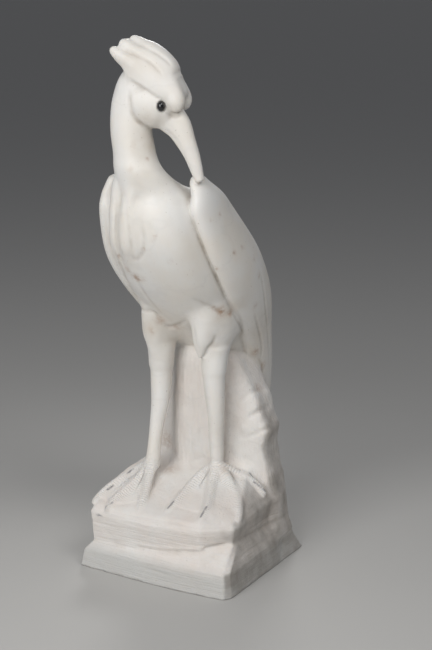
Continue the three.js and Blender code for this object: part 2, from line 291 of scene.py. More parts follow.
HOOD_RIDGE = [
    [-40, 41], [-30, 33], [-25, 28.5], [-21, 21], [-16, 14], [-7, 9.4], [3, 3.3], [11, -2.3],
    [15.6, -5.5], [18, -9.8], [22, -16], [26, -18.5],
]
HOOD_BLEND = 2
NAPE_BLEND = 9
NAPE_START = 14
NAPE_LENGTH = 10
NAPE_HALF_WIDTH = 14

BROW = [
    [17, 8, 9, 9, 13],
    [25, -1, 10.5, 9, 10.5],
    [28.5, -9, 11.5, 8.5, 9],
    [29, -17, 11.5, 4, 4],
]

# Each strand of the crest is its distance outward, then [forward, up, half thickness, half depth].

STRANDS = [
    [0, [[16, 20, 5, 6], [4, 34, 7, 9], [-7, 42.5, 7, 8], [-15, 48.3, 5.5, 5.5], [-20, 51, 3, 3]]],
    [6, [[4, 26, 7, 9], [-8, 35, 8, 9], [-18, 41, 7.5, 8], [-24, 45, 6, 6], [-28.5, 47.5, 3.5, 3.5]]],
    [10, [[-2, 17, 8, 10], [-14, 27, 8, 9.5], [-25, 34, 7, 7.5], [-31, 38, 5.5, 5.6], [-36.5, 41.7, 3, 3]]],
]

BILL = [
    [15.8, -20, 0, 12, 16.2],
    [27, -31.5, 0, 9.5, 13.2],
    [34.6, -45.7, 0, 8, 9.8],
    [40.6, -58.8, 0, 6.6, 7.7],
    [45.3, -73, 0, 5.1, 6.1],
    [48.8, -84, 0, 3.9, 4.2],
]

# Toes run from the ankle over the rock to the claw's tip. They narrow along the way, and fine ribs
# cross them.

LEFT_ANKLE = [27.4, 6, 106]
RIGHT_ANKLE = [-40, -16, 104]
TOE_ROOT = 6.6
TOE_NARROWING = 3.4
TOE_FLATNESS = 0.85
TOE_RIB = 2.4

TOES = [
    [LEFT_ANKLE, [14, -1, 97], [9, -24, 86], [8, -48, 77], [6, -63, 71]],
    [LEFT_ANKLE, [31, -11, 92], [40, -31, 84], [46, -50, 77], [48, -66, 70]],
    [LEFT_ANKLE, [46, -2, 94], [61, -13, 84], [72, -27, 76], [79, -40, 69]],
    [LEFT_ANKLE, [47, 15, 97], [65, 20, 88.5], [77, 22, 76.5]],
    [RIGHT_ANKLE, [-36, -29, 92], [-29, -47, 80], [-23, -69, 70]],
    [RIGHT_ANKLE, [-48, -31, 88], [-54, -50, 79], [-58, -66, 72], [-58, -77, 66]],
    [RIGHT_ANKLE, [-54, -19, 95], [-67, -26, 87], [-76, -44, 79], [-79, -60, 73], [-80, -71, 68]],
]

# A web joins two of those toes between two shares of their length. It sags more towards the claws.

WEBS = [(0, 1), (1, 2), (4, 5), (5, 6)]
WEB_START = 0.12
WEB_END = 0.8
WEB_SAG = (0.3, 3)
WEB_LIFT = 3.4
WEB_SINK = 3
WEB_DEPTH = 9

# The plinth is a dressed slab under rough rock. Outlines start at the front right corner, and the
# slab's top leans in at its back left corner.

SLAB_OUTLINE = [
    [-90, -81], [-20, -85], [31, -86], [60, -85], [86, -83], [91, -75], [91, 26], [91, 70],
    [90.5, 84], [0, 83], [-90, 80], [-91, -20], [-91, -60],
]
SLAB_TOP = SLAB_OUTLINE[:6] + [[91, 26], [84.5, 60], [82, 76]] + SLAB_OUTLINE[9:]
RIM_OUTLINE = [
    [-80, -77], [-16, -78], [31, -76], [53, -74], [80, -50], [82, -40], [80, 26], [79, 52],
    [62, 72], [0, 76], [-76, 70], [-83, -20], [-81, -58],
]

# The slab's top and the rim's foot have a height, a rise per millimetre and the x that it starts from.

SLAB_SLOPE = (19, 0.042, -84)
RIM_SLOPE = (29, 0.13, -77)
RIM_ROUNDING = 6
DRESSED_SHARE = 0.965
RIM_SHARES = (0.94, 0.7, 0.4)

# The rough top climbs towards the back as far as its highest level, and falls away to the bird's left,
# more steeply towards the back.

GROUND_FRONT = -76
GROUND_LOW = 68
GROUND_HIGH = 101
GROUND_CLIMB = 0.34
FALL_START = 55
FALL_SLOPE = 0.35
FALL_FRONT = -40
FALL_STEEPENING = 0.016
FALL_LIMIT = 27

# The rock narrows from its foot to its crest. Each level is [z, how far its left face reaches], and
# the foot's corners on that face are drawn for the foot's reach.

ROCK_FOOT = [
    [-73, 42], [-48, 34], [-30, 18], [4, 14], [40, 26], [79, 34], [82, 57], [70, 78], [0, 73], [-66, 66],
]
ROCK_CREST = [
    [-46, 40], [-36, 28], [-25, 15], [4, 13], [26, 23], [37, 34], [40, 46], [34, 80], [0, 90], [-34, 66],
]
ROCK_LEVELS = [
    [26, 84], [38, 82], [50, 80], [72, 77.5], [90, 75], [104, 71], [121, 67], [133, 69], [143, 70.5],
    [152, 65], [173, 58], [188, 49], [207, 38], [230, 28],
]
FOOT_REACH = 82
LEFT_FACE_X = 50
ROCK_LEAN = 1.5
ROCK_MIDDLE = np.array([0, 45])
ROCK_DOME = 16
DOME_FALL = 0.6

# Waves of the tooling: height in millimetres, direction, wavelength, random seed and spread

LUMPS = (0.6, (0.4, 0.5, 1), 34, 11, 1.2)
SMALL_LUMPS = (0.25, (0.5, 0.3, 1), 13, 12, 1.2)
UPRIGHT_MARKS = (0.4, (1, 0.6, 0), 6, 13, 0.12)
LEVEL_MARKS = (0.12, (0, 0, 1), 5.5, 14, 0.06)

# Where they lie: all that is tooled, the upright marks behind the legs, and the plinth's calmer sides

TOOLED = ([-100, -100, -5], [100, 130, 250])
BEHIND_LEGS = ([-52, 5, 102], [8, 140, 260])
PLINTH_SIDE_TOP = 68
PLINTH_CALM = 0.45
ROUGH_FADE = 2.2

# Carved lines: pixels of the photograph, then the line's width and depth in millimetres. A negative
# depth raises the stone. A ledge is cut only below its line, so that the stone above it overhangs.

LINE_REACH = 2.5
LINE_FADE = 0.3
LEDGE_EDGE = 3.5

HEAD_LINES = [
    [[(130, 42), (142, 46), (156, 53), (166, 60), (172, 67)], 1.8, 1.3],
    [[(119, 49), (130, 53), (144, 59), (156, 68), (164, 79)], 1.8, 1.2],
    [[(129, 88), (129.5, 97), (130.5, 106), (133, 115), (138, 121.5), (145, 126), (153, 128)], 2.0, 1.3],
    [[(146, 91), (154, 96), (160, 100), (166, 109), (171, 115.5), (177, 117.5), (184, 115)], 1.5, 1.2],
    [[(163, 127.5), (170, 133), (177, 141), (184, 153)], 1.4, 1.0],
]
WING_LINES = [
    [[(191, 190), (193, 205), (194, 220), (199, 238), (206, 255), (214, 272), (222, 290), (229, 305),
      (237, 320), (244, 335), (251, 350), (257, 365), (262, 378)], 1.6, 1.3],
    [[(240, 328), (248, 342), (255, 352), (260.5, 358)], 2.0, -1.2],
    [[(261, 358), (262, 346), (259, 330), (254, 312)], 1.6, 1.6],
    [[(257, 262), (265, 300), (268.5, 340), (270, 385)], 1.6, 1.0],
    [[(256, 352), (263, 370), (268, 390)], 1.6, 0.9],
]
BODY_LINES = [
    [[(112, 237), (116, 256), (125, 276), (138, 299), (151, 311), (160, 319), (170, 328)], 1.8, 1.6],
    [[(135, 276), (142, 289), (152, 303), (161, 313), (166, 319)], 2.4, 0.9],
    [[(164, 326), (175, 326), (188, 320)], 2.4, 1.3],
    [[(191, 297), (205, 304), (215, 309), (225, 314), (232, 313)], 2.4, 1.7],
    [[(115, 185), (116, 205), (115, 232), (119, 255), (128, 272)], 1.8, 0.9],
    [[(124, 190), (127, 215), (130, 240), (134, 262)], 2.2, 0.9],
    [[(140, 222), (143, 236), (143, 250), (138, 259), (132, 257)], 2.4, 1.1],
    [[(193, 322), (196, 342), (200, 357)], 1.8, 1.0],
    [[(201, 359), (207, 352), (213, 343), (215, 334)], 1.8, 1.2],
]
ROCK_LINES = [
    [[(238, 407), (246, 396), (256, 390), (267, 389)], 2.4, 1.5],
    [[(247, 418), (256, 413), (264, 409), (272, 405)], 2.6, 2.2],
    [[(244, 438), (255, 434), (266, 429), (277, 424)], 2.8, 1.5],
    [[(186, 462), (197, 459), (212, 459), (228, 464)], 2.2, 1.0],
]
LEDGES = [
    [[(86, 541), (106, 543), (131, 546), (165, 550), (199, 551), (208, 547), (225, 543), (242, 538)],
     5, 3.4],
    [[(240, 538), (250, 534), (264, 526), (288, 511)], 5, 2.4],
    [[(89, 508), (103, 513), (130, 517), (154, 521), (185, 525), (208, 528)], 5, 1.2],
]

# Dark claws, as the two ends of each in the photograph

CLAWS = [
    [(200.5, 517), (206.5, 507)], [(168, 508), (173.5, 501.5)], [(254.5, 482), (265, 491)],
    [(249.5, 473), (253, 477)], [(105.5, 507.5), (112, 503)], [(99, 515), (101, 514)],
    [(107, 490), (113, 486)], [(128, 473), (133, 469)],
]
CLAW_RADIUS = 1.4

# Warm patina on the neck and painted shade on the crest, hood, thighs, belly and lower wing, then brown
# stains with some painted shade in the recess behind the legs: pixel, radius in millimetres and strength

PATINA_AND_SHADE_PATCHES = [
    [(150, 140), 16, 0.7], [(140, 152), 22, 0.5], [(131, 110), 16, 0.3], [(133, 54), 22, 0.9],
    [(165, 75), 22, 0.5], [(150, 330), 16, 0.9], [(226, 326), 22, 0.8], [(185, 235), 30, 0.2],
    [(240, 305), 26, 0.4], [(258, 330), 22, 0.8], [(185, 325), 22, 0.6], [(122, 260), 16, 0.4],
    [(130, 290), 16, 0.4], [(146, 118), 8, 0.4], [(160, 124), 8, 0.4],
]
# Brown stains; the large ones low on the rock are painted shade in the recess behind the legs
STAINS_AND_RECESS_SHADE = [
    [(137, 278), 5, 1.0], [(128, 270), 4, 0.6], [(119, 256), 4, 0.6], [(118, 262), 3, 0.5],
    [(144, 249), 2, 0.7], [(151, 241), 1.5, 0.7], [(155, 237), 1.8, 0.8], [(170, 261), 2, 0.8],
    [(147, 159), 1.6, 0.8], [(133, 145), 3, 0.2], [(131, 169), 3, 0.2], [(220, 214), 1.6, 0.8],
    [(211, 221), 1.2, 0.6], [(242, 248), 2, 0.8], [(234, 253), 2, 0.8], [(216, 268), 2, 0.8],
    [(254, 259), 2, 0.8], [(259, 276), 2.5, 0.6], [(255, 306), 3, 0.5], [(221, 311), 5, 0.9],
    [(230, 313), 4, 0.8], [(214, 308), 3, 0.5], [(160, 320), 5, 0.5], [(176, 326), 6, 0.45],
    [(256, 352), 5, 0.7], [(262, 366), 5, 0.6], [(152, 331), 3, 0.5], [(168, 440), 9, 0.5],
    [(172, 470), 8, 0.4], [(258, 388), 7, 0.4], [(224, 470), 6, 0.3],
]

# What the finish reads from the shape: how far it looks, and how strongly a hollow counts as a crease

FINE_REACH = 2.5
BROAD_REACH = 7
FINE_CREASE = 0.7
BROAD_CREASE = 0.9
TOE_REACH = 9


# Skins in mesh form

def station_at(stations, t):
    """The smooth curve through the stations, at each t from 0 to 1."""
    table = np.asarray(stations, float)
    last = len(table) - 1
    place = np.clip(np.asarray(t, float) * last, 0, last - 1e-9)
    i = np.floor(place).astype(int)
    f = (place - i)[:, None]
    before, here, after, beyond = (table[np.clip(i + k, 0, last)] for k in (-1, 0, 1, 2))
    return 0.5 * (
        2 * here
        + (after - before) * f
        + (2 * before - 5 * here + 4 * after - beyond) * f**2
        + (3 * here - before - 3 * after + beyond) * f**3
    )


def ring_plan(rings, start, end):
    """How far along each ring lies, and its share of the full size where the ends are rounded."""
    cap_rings = 10
    turn = np.arange(1, cap_rings) / cap_rings * math.pi / 2
    parts = [(np.linspace(start, 1 - end, rings + 1), np.ones(rings + 1))]
    if start:
        parts.insert(0, (start * (1 - np.cos(turn)), np.sin(turn)))
    if end:
        parts.append(((1 - end * (1 - np.cos(turn)))[::-1], np.sin(turn)[::-1]))
    return np.concatenate([p[0] for p in parts]), np.concatenate([p[1] for p in parts])


def unit(vectors):
    return vectors / np.linalg.norm(vectors, axis=-1, keepdims=True)


def closed_stack(rings, bottom, top):
    """Points, triangles and quads of a skin over rings of corners, with a fan at each end."""
    count, sides = rings.shape[:2]
    points = np.concatenate([rings.reshape(-1, 3), [bottom], [top]])
    s = np.arange(sides)
    n = (s + 1) % sides
    quads = [np.stack([r * sides + s, r * sides + n, (r + 1) * sides + n, (r + 1) * sides + s], 1)
             for r in range(count - 1)]
    last = (count - 1) * sides
    low_fan = np.stack([np.full(sides, count * sides), n, s], 1)
    high_fan = np.stack([np.full(sides, count * sides + 1), last + s, last + n], 1)
    return points, np.concatenate([low_fan, high_fan]), np.concatenate(quads)


def sweep(stations, rings=60, sides=48, start=0.0, end=0.0, level=False, side=(1, 0, 0), square=2.0):
    """A skin of rings through the stations, rounded over a share of its length at the start and end."""
    t, scale = ring_plan(rings, start, end)
    table = station_at(stations, t)
    if level:
        along = np.tile([0.0, 0.0, -1.0], (len(t), 1))
    else:
        along = unit(station_at(stations, np.minimum(1, t + 0.01))[:, :3]
                     - station_at(stations, np.maximum(0, t - 0.01))[:, :3])
    side = np.asarray(side, float)
    u = unit(side - along * (along @ side)[:, None])
    v = np.cross(along, u)
    angle = np.arange(sides) / sides * 2 * math.pi
    across = np.sign(np.cos(angle)) * np.abs(np.cos(angle)) ** (2 / square)
    through = np.sign(np.sin(angle)) * np.abs(np.sin(angle)) ** (2 / square)
    wide = (table[:, 3] * scale)[:, None, None] * across[None, :, None]
    deep = (table[:, 4] * scale)[:, None, None] * through[None, :, None]
    rings_of_points = table[:, None, :3] + u[:, None] * wide + v[:, None] * deep
    ends = station_at(stations, [0, 1])[:, :3]
    return closed_stack(rings_of_points, ends[0], ends[1])


def head_points(table):
    """Where points given as forward, up and outward of the skull lie."""
    table = np.asarray(table, float)
    return SKULL + table[:, :1] * FORWARD + table[:, 1:2] * UP + table[:, 2:3] * HEAD_SIDE


def head_sweep(stations, **options):
    table = np.asarray(stations, float)
    return sweep(np.concatenate([head_points(table), table[:, 3:]], 1), side=HEAD_SIDE, **options)


def mirrored(stations, centre):
    return [[2 * centre - x, *rest] for x, *rest in stations]


# The stone as a field of distances

def smooth_min(a, b, blend):
    """The lower of two distances, rounded where they differ by less than the blend."""
    near = np.maximum(blend - np.abs(a - b), 0) / blend
    return np.minimum(a, b) - near * near * blend / 4


class Stone:
    """Signed distance to the surface in millimetres on a regular grid, negative inside."""

    def __init__(self):
        self.first = np.floor((BLOCK_LOW - MARGIN) / VOXEL).astype(int)
        self.shape = np.ceil((BLOCK_HIGH + MARGIN) / VOXEL).astype(int) - self.first + 1
        self.values = np.full(self.shape, BAND, np.float32)
        self.transform = openvdb.createLinearTransform(voxelSize=VOXEL)

    def region(self, low, high):
        """The slices of the grid between two corners."""
        a = np.clip(np.floor(np.asarray(low) / VOXEL).astype(int) - self.first, 0, self.shape - 1)
        b = np.clip(np.ceil(np.asarray(high) / VOXEL).astype(int) - self.first + 1, 1, self.shape)
        return tuple(slice(i, j) for i, j in zip(a, b))

    def coordinates(self, region):
        axes = [(np.arange(s.start, s.stop) + f) * VOXEL for s, f in zip(region, self.first)]
        return np.meshgrid(*axes, indexing="ij", sparse=True)

    def distances(self, skin):
        """The slices that a closed skin touches, and its distances there."""
        points, triangles, quads = skin
        grid = openvdb.FloatGrid.createLevelSetFromPolygons(
            points.astype(np.float32),
            triangles=triangles.astype(np.uint32),
            quads=quads.astype(np.uint32),
            transform=self.transform,
            halfWidth=BAND / VOXEL,
        )
        region = self.region(points.min(0) - BAND, points.max(0) + BAND)
        values = np.empty([s.stop - s.start for s in region], np.float32)
        corner = [int(s.start + f) for s, f in zip(region, self.first)]
        grid.copyToArray(values, ijk=tuple(corner))
        return region, values

    def add(self, skin, blend):
        region, values = self.distances(skin)
        self.values[region] = smooth_min(self.values[region], values, blend)

    def merge(self, other, blend):
        self.values = smooth_min(self.values, other.values, blend)

    def cut_underside(self):
        height = (np.arange(self.shape[2]) + self.first[2]) * VOXEL
        self.values = np.maximum(self.values, -height)

    def near_surface(self, region, limit):
        """Which voxels of a region are nearer to the surface than a limit, and where they are."""
        near = np.abs(self.values[region]) < limit
        return near, np.stack(np.broadcast_arrays(*self.coordinates(region)), -1)[near]

    def soften(self, low, high, passes):
        """Rounds the edges between two corners by averaging each voxel with its neighbours."""
        region = self.region(low, high)
        part = self.values[region]
        for _ in range(passes):
            for axis in range(3):
                part = soften_along(part, axis)
        share = 1.0
        for axis, count in enumerate(part.shape):
            from_side = np.minimum(np.arange(count), np.arange(count)[::-1]) * VOXEL / SOFT_SIDE
            share = share * np.clip(from_side, 0, 1).reshape([-1 if i == axis else 1 for i in range(3)])
        self.values[region] += share * (part - self.values[region])

    def sample(self, points, values=None):
        """The distance at any points, between the voxels."""
        values = self.values if values is None else values
        place = np.asarray(points) / VOXEL - self.first
        place = np.clip(place, 0, self.shape - 1.001)
        i = np.floor(place).astype(int)
        f = place - i
        total = np.zeros(len(place))
        for corner in np.ndindex(2, 2, 2):
            weight = np.prod(np.where(corner, f, 1 - f), axis=1)
            total += weight * values[tuple((i + corner).T)]
        return total

    def skin(self):
        """Points, triangles and quads of the surface."""
        grid = openvdb.FloatGrid(BAND)
        grid.copyFromArray(self.values, ijk=tuple(int(i) for i in self.first))
        grid.transform = self.transform
        grid.gridClass = openvdb.GridClass.LEVEL_SET
        return grid.convertToPolygons(0.0, 0.0)


def soften_along(values, axis):
    padded = np.pad(values, [(1, 1) if i == axis else (0, 0) for i in range(3)], mode="edge")
    before = np.take(padded, range(0, values.shape[axis]), axis)
    after = np.take(padded, range(2, values.shape[axis] + 2), axis)
    return (before + 2 * values + after) / 4


# The camera, as a way from a pixel of the photograph to the stone

def camera_axes():
    right = np.array([math.cos(CAMERA_AZIMUTH), math.sin(CAMERA_AZIMUTH), 0])
    ahead = np.array([
        -math.sin(CAMERA_AZIMUTH) * math.cos(CAMERA_PITCH),
        math.cos(CAMERA_AZIMUTH) * math.cos(CAMERA_PITCH),
        -math.sin(CAMERA_PITCH),
    ])
    return right, ahead, np.cross(right, ahead)


def on_stone(stone, pixels):
    """The first point of the stone behind each pixel of the photograph."""
    right, ahead, up = camera_axes()
    reach = np.arange(LOOK_START, LOOK_END, LOOK_STEP)
    found = []
    for x, y in pixels:
        ray = ahead + right * (x - PHOTO_SIZE[0] / 2) / FOCAL_PIXELS
        ray = ray - up * (y - PHOTO_SIZE[1] / 2) / FOCAL_PIXELS
        points = CAMERA_PLACE + reach[:, None] * ray
        inside = np.flatnonzero(stone.sample(points) < 0)
        if len(inside):
            found.append(points[inside[0]])
    return np.array(found)


def settle(stone, points):
    """Moves points to the nearest place on the surface."""
    for _ in range(4):
        value = stone.sample(points)
        slope = np.stack([stone.sample(points + step) - value for step in np.eye(3) * VOXEL], 1)
        points = points - value[:, None] * unit(slope + 1e-6)
    return points


# Carving into the stone

def fine_path(points):
    """A smooth curve through the points, with a sample about every millimetre."""
    points = np.asarray(points, float)
    length = np.linalg.norm(np.diff(points, axis=0), axis=1).sum()
    return station_at(points, np.linspace(0, 1, max(4, int(length))))


def carve(stone, path, width, depth, ledge=False):
    """Lowers the surface along a path by up to depth, or raises it where depth is negative."""
    reach = LINE_REACH * width
    region = stone.region(path.min(0) - reach, path.max(0) + reach)
    near, grid = stone.near_surface(region, 3 * VOXEL + abs(depth))
    nearest = np.full(len(grid), 1e9)
    share = np.zeros(len(grid))
    below = np.zeros(len(grid))
    along = np.linspace(0, 1, len(path))
    for point, t in zip(path, along):
        gap = ((grid - point) ** 2).sum(1)
        closer = gap < nearest
        nearest[closer] = gap[closer]
        below[closer] = point[2] - grid[closer, 2]
        share[closer] = min(1, min(t, 1 - t) / LINE_FADE)
    if ledge:
        share = share * np.clip(0.5 + below / LEDGE_EDGE, 0, 1)
    stone.values[region][near] += depth * share * np.exp(-nearest / width**2)


def ripple(grid, height, direction, wavelength, seed, spread):
    """A sum of waves that run roughly along a direction, up to about the height either way."""
    random = np.random.default_rng(seed)
    total = 0.0
    for _ in range(5):
        lean = unit(np.asarray(direction, float) + random.normal(0, spread, 3))
        size = wavelength * random.uniform(0.6, 1.6)
        total = total + np.sin(2 * math.pi * (grid @ lean) / size + random.uniform(0, 6.28))
    return height * (total / 3)


def carve_lines(stone, lines, mirror=None, ledge=False):
    """Carves each line where the photograph shows it, and on the far side where it has a twin."""
    for pixels, width, depth in lines:
        path = fine_path(on_stone(stone, pixels))
        carve(stone, settle(stone, path), width, depth, ledge=ledge)
        if mirror:
            carve(stone, settle(stone, mirror(path)), width, depth)


def other_cheek(points):
    out = (points - SKULL) @ HEAD_SIDE
    return points - 2 * out[:, None] * HEAD_SIDE


def other_wing(points):
    return points * [-1, 1, 1] + [2 * WING_MIDDLE, 0, -RIGHT_WING_DROP]


def share_of_rock(rock_distance):
    """From 0 on the polished bird to 1 on the tooled rock and plinth."""
    return np.clip(1.3 - rock_distance / ROUGH_FADE, 0, 1)


def tool_stone(stone, rock):
    """Uneven tooling on the rock and the plinth, with upright marks behind the legs."""
    region = stone.region(*TOOLED)
    near, grid = stone.near_surface(region, 3 * VOXEL)
    low, high = np.array(BEHIND_LEGS)
    behind_legs = np.all((grid > low) & (grid < high), axis=1)
    sides = grid[:, 2] < PLINTH_SIDE_TOP
    lumps = ripple(grid, *LUMPS) + ripple(grid, *SMALL_LUMPS)
    marks = ripple(grid, *UPRIGHT_MARKS) * behind_legs
    rows = ripple(grid, *LEVEL_MARKS) * sides
    calm = np.where(sides, PLINTH_CALM, 1)
    stone.values[region][near] += share_of_rock(rock[region][near]) * (calm * lumps + marks + rows)
    stone.cut_underside()


# The bird

def add_body(stone):
    left = (math.cos(WING_TURN), math.sin(WING_TURN), 0)
    right = (math.cos(WING_TURN), -math.sin(WING_TURN), 0)
    right_wing = [[x, y, z - RIGHT_WING_DROP, *half] for x, y, z, *half in mirrored(WING, WING_MIDDLE)]
    stone.add(sweep(TORSO, level=True, start=0.06, end=0.05, square=TORSO_SQUARE), BLENDS["torso"])
    stone.add(sweep(NECK_FLARE, level=True, start=0.1), BLENDS["neck flare"])
    stone.add(head_sweep(NECK, rings=110, start=0.08), BLENDS["neck"])
    stone.soften(*SOFT_SHOULDERS)
    stone.add(sweep(MANTLE, level=True, start=0.06, end=0.05, square=MANTLE_SQUARE), BLENDS["mantle"])
    for thigh in (THIGH, RIGHT_THIGH):
        stone.add(sweep(thigh, level=True, start=0.1), BLENDS["thigh"])
    for tuft in (THIGH_TUFT, mirrored(THIGH_TUFT, MIDDLE)):
        stone.add(sweep(tuft, level=True, start=0.15), BLENDS["thigh tuft"])
    for leg in (LEFT_LEG, RIGHT_LEG):
        stone.add(sweep(leg, level=True), BLENDS["leg"])
    for plume in PLUMES:
        stone.add(sweep(plume, level=True), BLENDS["plume"])
    for wing, side in ((WING, left), (right_wing, right)):
        stone.add(sweep(wing, level=True, start=0.05, end=0.03, side=side), BLENDS["wing"])


def from_skull(stone, region, way):
    """How far each voxel lies from the skull's middle, along a level direction."""
    x, y, _ = stone.coordinates(region)
    return (x - SKULL[0]) * way[0] + (y - SKULL[1]) * way[1]


def hood_blend(stone, region):
    """A crisp edge over the cheek and the eye, and a soft flow into the sides of the nape."""
    back = np.clip(-(from_skull(stone, region, FORWARD) + NAPE_START) / NAPE_LENGTH, 0, 1)
    side = np.clip(np.abs(from_skull(stone, region, HEAD_SIDE)) / NAPE_HALF_WIDTH, 0, 1)
    return HOOD_BLEND + NAPE_BLEND * back * side


def ridge_distance(stone, region):
    """How far each voxel lies above the hood's lower edge."""
    z = stone.coordinates(region)[2]
    ahead = from_skull(stone, region, FORWARD)
    forward, up = np.array(HOOD_RIDGE, float).T
    edge = np.interp(ahead, forward, up)
    slope = np.interp(ahead, forward, np.gradient(up, forward))
    return (z - SKULL[2] - edge) / np.sqrt(1 + slope**2)


def add_hood(stone):
    region, hood = stone.distances(head_sweep(HOOD, start=0.1, end=0.12))
    hood = -smooth_min(-hood, ridge_distance(stone, region), BLENDS["hood edge"])
    hood = np.minimum(hood, BAND)
    stone.values[region] = smooth_min(stone.values[region], hood, hood_blend(stone, region))


def add_head(stone):
    stone.add(head_sweep(CHEEK, start=0.07, end=0.1), BLENDS["cheek"])
    stone.add(head_sweep(BILL, end=0.05), BLENDS["bill"])
    add_hood(stone)
    for sign in (1, -1):
        lobe = [[f, u, out * sign, wide, deep] for f, u, out, wide, deep in BROW]
        stone.add(head_sweep(lobe, end=0.15), BLENDS["brow"])
    for out, path in STRANDS:
        for sign in (1, -1) if out else (1,):
            strand = [[f, u, out * sign, wide, deep] for f, u, wide, deep in path]
            stone.add(head_sweep(strand, end=0.12), BLENDS["strand"])


# The plinth and the rock

def ground_height(x, y):
    climb = np.minimum(GROUND_LOW + GROUND_CLIMB * (y - GROUND_FRONT), GROUND_HIGH)
    slope = FALL_SLOPE + FALL_STEEPENING * np.maximum(0, y - FALL_FRONT)
    return climb - np.minimum(FALL_LIMIT, np.maximum(0, x - FALL_START) * slope)


def sloping(height, rise=0, start=0):
    return lambda x, y: height + rise * (x - start)


def outline_ring(outline, share, height):
    """An outline drawn in to a share of its size, at the height that a function gives each corner."""
    ring = np.asarray(outline, float) * share
    return np.column_stack([ring, height(ring[:, 0], ring[:, 1])])


def plinth_skin():
    rings = [
        outline_ring(SLAB_OUTLINE, 1, sloping(-MARGIN)),
        outline_ring(SLAB_OUTLINE, 1, sloping(0)),
        outline_ring(SLAB_TOP, DRESSED_SHARE, sloping(*SLAB_SLOPE)),
        outline_ring(RIM_OUTLINE, DRESSED_SHARE, sloping(*RIM_SLOPE)),
        outline_ring(RIM_OUTLINE, 1, lambda x, y: ground_height(x, y) - RIM_ROUNDING),
    ]
    rings += [outline_ring(RIM_OUTLINE, share, ground_height) for share in RIM_SHARES]
    return closed_stack(np.array(rings), [0, 0, -MARGIN], [0, 0, float(ground_height(0, 0))])


def closed_curve(corners):
    """A smooth closed outline through the corners."""
    count = 72
    around = np.asarray(corners[-2:] + corners + corners[:3], float)
    last = len(around) - 1
    t = (2 + np.arange(count) / count * len(corners)) / last
    return station_at(around, t)


def rock_skin():
    bottom = ROCK_LEVELS[0][0]
    top = ROCK_LEVELS[-1][0]
    foot = closed_curve(ROCK_FOOT)
    crest = closed_curve(ROCK_CREST)
    rings = []
    for z, reach in station_at(ROCK_LEVELS, np.linspace(0, 1, 60)):
        rise = (z - bottom) / (top - bottom)
        left_face = foot[:, 0] * reach / FOOT_REACH
        leaning = foot[:, 0] + (crest[:, 0] - foot[:, 0]) * rise**ROCK_LEAN
        x = np.where(foot[:, 0] > LEFT_FACE_X, left_face, leaning)
        y = foot[:, 1] + (crest[:, 1] - foot[:, 1]) * rise
        dome = math.sqrt(1 - DOME_FALL * max(0, (z - top) / ROCK_DOME + 1) ** 2)
        ring = ROCK_MIDDLE * (1 - dome) + np.column_stack([x, y]) * dome
        rings.append(np.column_stack([ring, np.full(len(x), z)]))
    return closed_stack(np.array(rings), [0, 50, bottom], [0, 50, top + 3])


def toe_skin(path):
    half = TOE_ROOT - TOE_NARROWING * np.arange(len(path)) / (len(path) - 1)
    return sweep(np.column_stack([path, half, TOE_FLATNESS * half]), sides=24, end=0.15)


def web_skin(first, second):
    """A sheet of skin between two toes, with its underside in the rock."""
    columns = 24
    rows = 12
    t = np.linspace(WEB_START, WEB_END, columns)
    share = np.linspace(0, 1, rows)[:, None, None]
    sheet = station_at(first, t) * (1 - share) + station_at(second, t) * share
    sag = 4 * (share * (1 - share))[..., 0] * np.linspace(*WEB_SAG, columns)
    sheet[..., 2] += WEB_LIFT - sag
    lowest = ground_height(sheet[..., 0], sheet[..., 1]) - WEB_SINK
    sheet[..., 2] = np.maximum(sheet[..., 2], lowest)
    under = sheet - [0, 0, WEB_DEPTH]
    points = np.concatenate([sheet.reshape(-1, 3), under.reshape(-1, 3)])
    index = np.arange(rows * columns).reshape(rows, columns)
    top = np.stack([index[:-1, :-1], index[1:, :-1], index[1:, 1:], index[:-1, 1:]], -1).reshape(-1, 4)
    rim = np.concatenate([index[0, :-1], index[:-1, -1], index[-1, :0:-1], index[:0:-1, 0]])
    after = np.roll(rim, -1)
    offset = rows * columns
    walls = np.stack([rim, after, after + offset, rim + offset], 1)
    return points, np.zeros((0, 3), int), np.concatenate([top, (top + offset)[:, ::-1], walls])


def add_ground(stone):
    """Adds the plinth, rock, webs and toes, and gives back the distances to the plinth and rock alone."""
    ground = Stone()
    ground.add(plinth_skin(), BLENDS["plinth"])
    ground.soften(*SOFT_PLINTH)
    ground.soften(*SOFT_RIM)
    ground.add(rock_skin(), BLENDS["rock"])
    ground.soften(*SOFT_ROCK)
    rock = ground.values.copy()
    for first, second in WEBS:
        ground.add(web_skin(TOES[first], TOES[second]), BLENDS["web"])
    for path in TOES:
        ground.add(toe_skin(path), BLENDS["toe"])
    ground.cut_underside()
    stone.merge(ground, BLENDS["ground"])
    return rock


def eye_centre(sign):
    forward, up, out = EYE_PLACE
    return head_points([[forward, up, out * sign]])[0]


def cut_eye_seats(stone):
    for sign in (1, -1):
        centre = eye_centre(sign)
        region = stone.region(centre - EYE_REACH, centre + EYE_REACH)
        z = stone.coordinates(region)[2]
        forward = from_skull(stone, region, FORWARD) - EYE_PLACE[0]
        out = from_skull(stone, region, HEAD_SIDE) - EYE_PLACE[2] * sign
        a, b, c = EYE_HALF_SIZES + EYE_SEAT_GAP
        share = np.sqrt((forward / a) ** 2 + ((z - centre[2]) / b) ** 2 + (out / c) ** 2)
        stone.values[region] = np.maximum(stone.values[region], (1 - share) * min(a, b, c))


